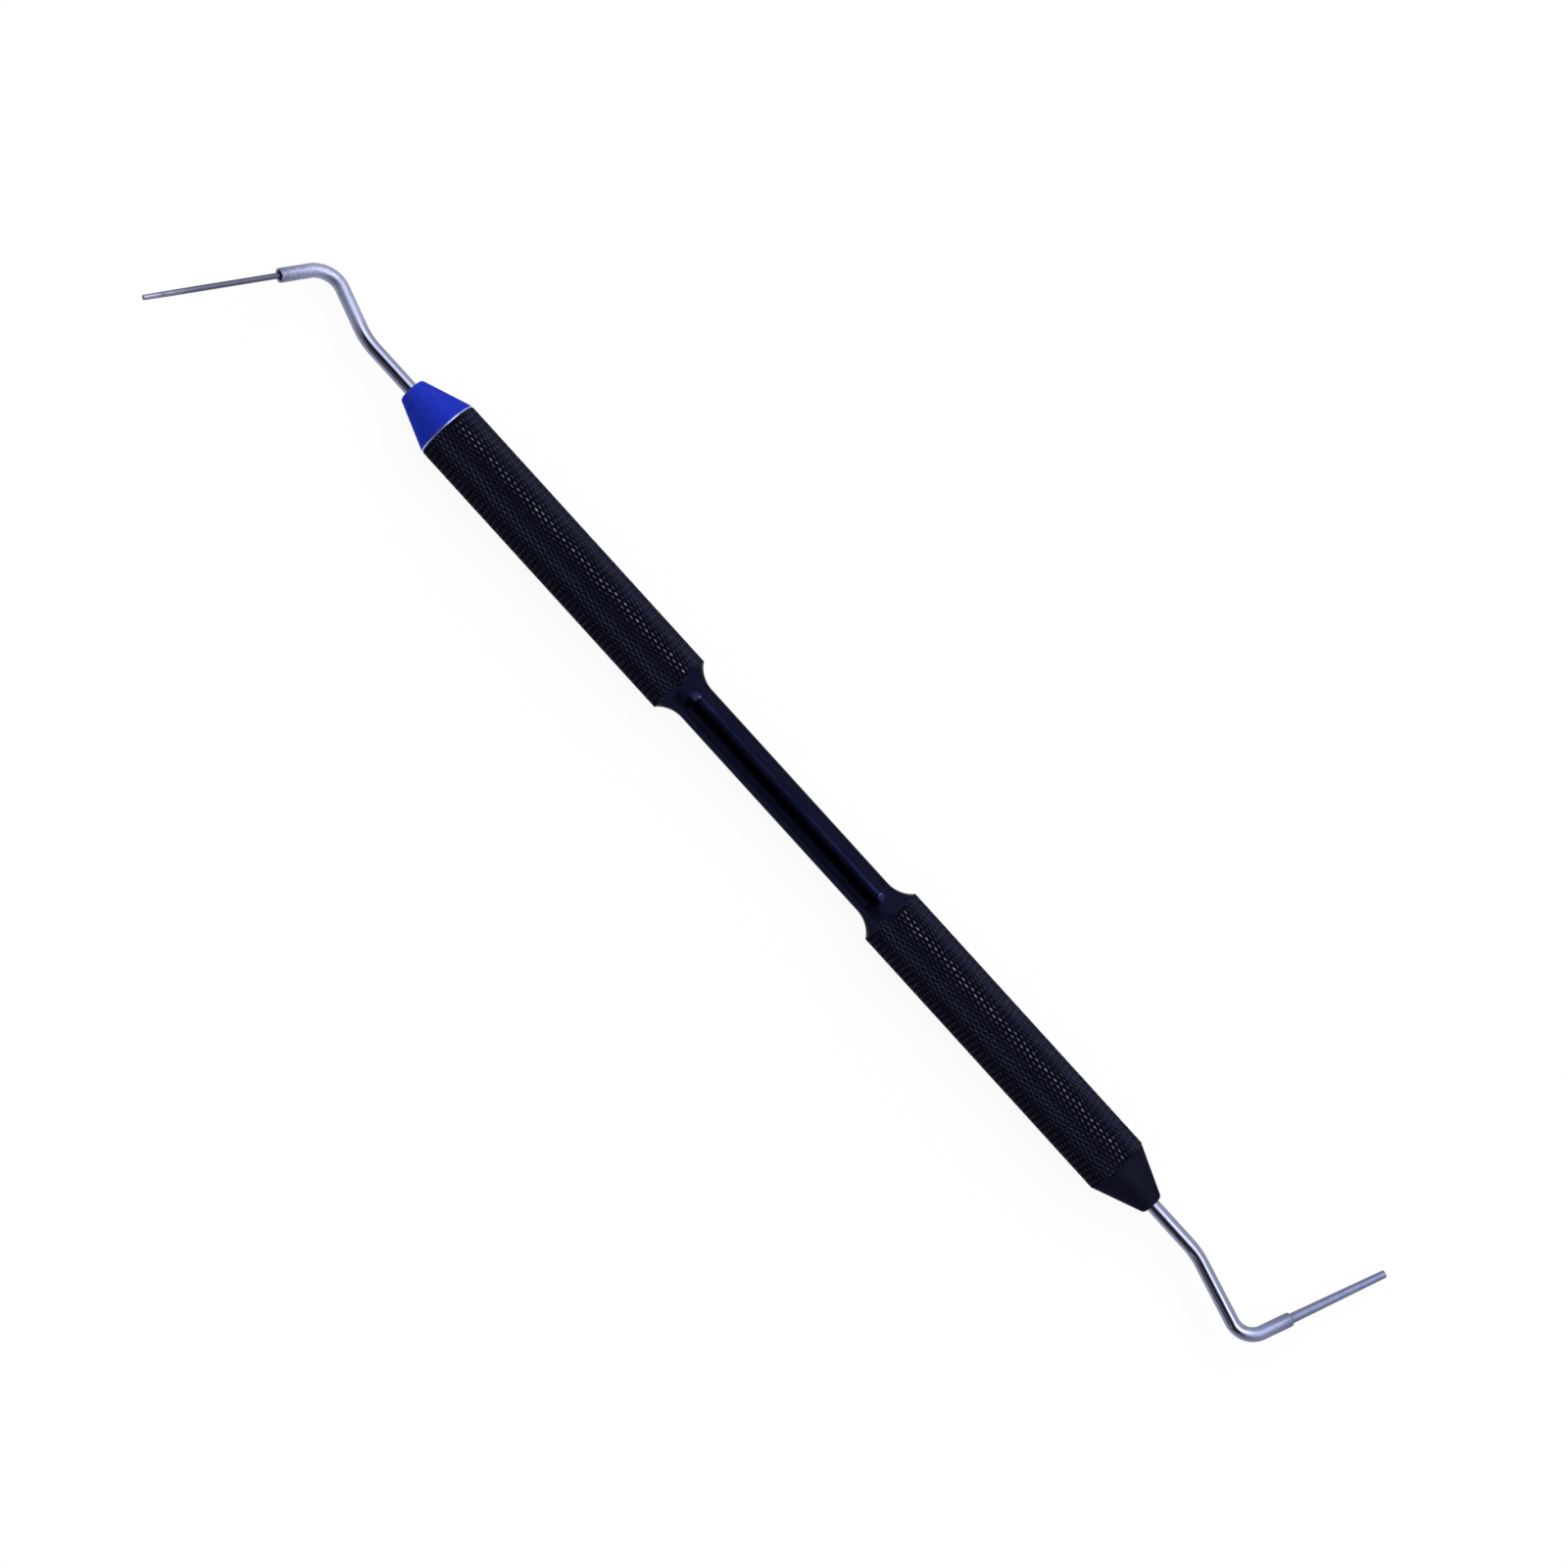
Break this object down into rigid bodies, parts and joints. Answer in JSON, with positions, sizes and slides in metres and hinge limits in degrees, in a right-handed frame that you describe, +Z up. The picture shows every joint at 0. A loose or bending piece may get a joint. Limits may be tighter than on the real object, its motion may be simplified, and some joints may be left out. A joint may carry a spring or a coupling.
{
  "type": "endodontic hand plugger",
  "caption": "Double-ended root-canal hand plugger: knurled anodised handle, cone at each end, bent steel shanks with a thin dark wire tip and a tapered steel tip.",
  "frame": {"origin": "on the surface that the instrument lies on, straight below the middle of the handle bar", "axes": "+X along the handle towards the black end with the steel tip, +Z up from the surface it lies on"},
  "size_m": [0.1646, 0.0278, 0.0135],
  "materials": {
    "black_anodised": "black anodised, satin on the waist and cone, knurled grips",
    "blue_anodised": "blue anodised, satin",
    "bright_aluminium": "bare, bright turned",
    "stainless_steel": "polished shanks, satin towards the mouths and tips",
    "dark_nickel_titanium": "dark blue-grey oxide, satin"
  },
  "bodies": {
    "root": {"handle_body": "black_anodised", "blue_nose_cone": "blue_anodised", "black_nose_cone": "black_anodised", "seam_ring": "bright_aluminium", "blue_end_shank": "stainless_steel", "black_end_shank": "stainless_steel", "niti_tip": "dark_nickel_titanium", "niti_tip_sleeve": "stainless_steel", "steel_tip": "stainless_steel"}
  },
  "joints": []
}
